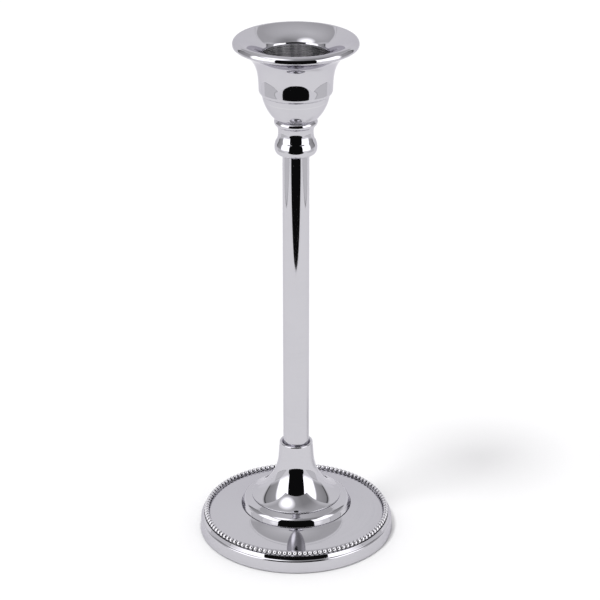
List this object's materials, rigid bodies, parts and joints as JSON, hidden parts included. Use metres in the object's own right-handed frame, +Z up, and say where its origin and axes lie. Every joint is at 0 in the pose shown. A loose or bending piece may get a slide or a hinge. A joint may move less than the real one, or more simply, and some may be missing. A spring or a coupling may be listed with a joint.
{
  "type": "candlestick",
  "caption": "Polished candlestick for one dinner candle: flared cup with a drip dish on a slim straight stem, trumpet foot and a low round base that sweeps up to it, edged with fine beading",
  "frame": {"origin": "centre of the underside, where the felt pad meets the table, on the candlestick's axis", "axes": "+Z up along the candlestick's axis; it is turned, so +X and +Y are any two square directions in the table"},
  "size_m": [0.0758, 0.0758, 0.1998],
  "materials": {
    "polished_cup": "mirror polish outside, fine turning marks in the socket",
    "polished_neck": "mirror polish",
    "polished_stem": "drawn tube, polished bright",
    "polished_foot": "mirror polish",
    "polished_base": "mirror polish with faint buffing haze",
    "polished_beads": "rolled beads, polished on their crests",
    "zinc_steel": "bright zinc plate on machined steel",
    "spring_steel": "oiled spring steel",
    "cast_weight": "bare sand casting, faced underneath",
    "dark_felt": "pressed wool felt"
  },
  "bodies": {
    "root": {"candle_cup": "polished_cup", "neck_knop": "polished_neck", "stem_tube": "polished_stem", "tie_rod": "zinc_steel", "base_trumpet": "polished_foot", "base_ring": "polished_foot", "base_plate": "polished_base", "bead_border": "polished_beads", "base_weight": "cast_weight", "clamp_washer": "zinc_steel", "lock_washer": "spring_steel", "base_nut": "zinc_steel", "felt_pad": "dark_felt"}
  },
  "joints": []
}
